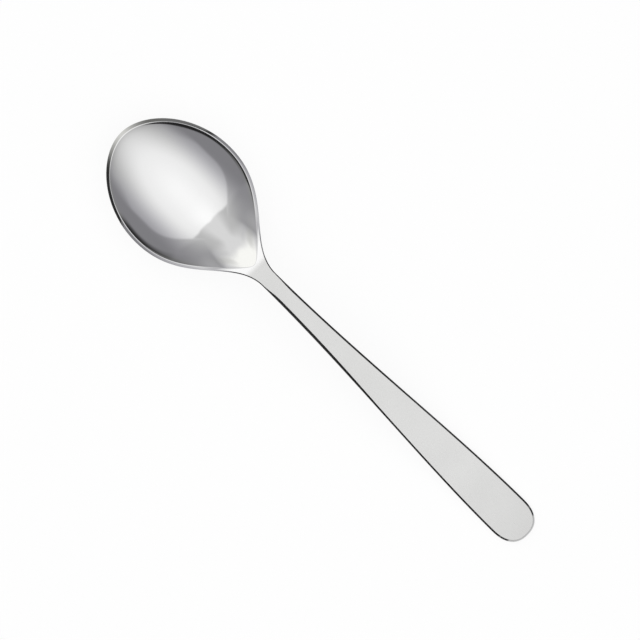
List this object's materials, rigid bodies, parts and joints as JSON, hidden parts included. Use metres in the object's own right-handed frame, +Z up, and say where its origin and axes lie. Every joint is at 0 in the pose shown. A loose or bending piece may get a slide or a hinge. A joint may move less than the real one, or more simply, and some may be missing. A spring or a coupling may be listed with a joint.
{
  "type": "dessert spoon",
  "caption": "Plain polished steel dessert spoon with an egg-shaped bowl, a slim neck and a flat flaring handle with a round end.",
  "frame": {"origin": "middle of the spoon's box on the table it lies on, below the neck's far side", "axes": "+X along the spoon from the handle's end to the bowl's tip, +Y across it to the left seen from the handle, +Z up out of the hollow"},
  "size_m": [0.18, 0.0422, 0.0159],
  "materials": {
    "mirror_steel": "polished",
    "satin_steel": "satin"
  },
  "bodies": {
    "root": {"bowl": "mirror_steel", "handle": "satin_steel"}
  },
  "joints": []
}
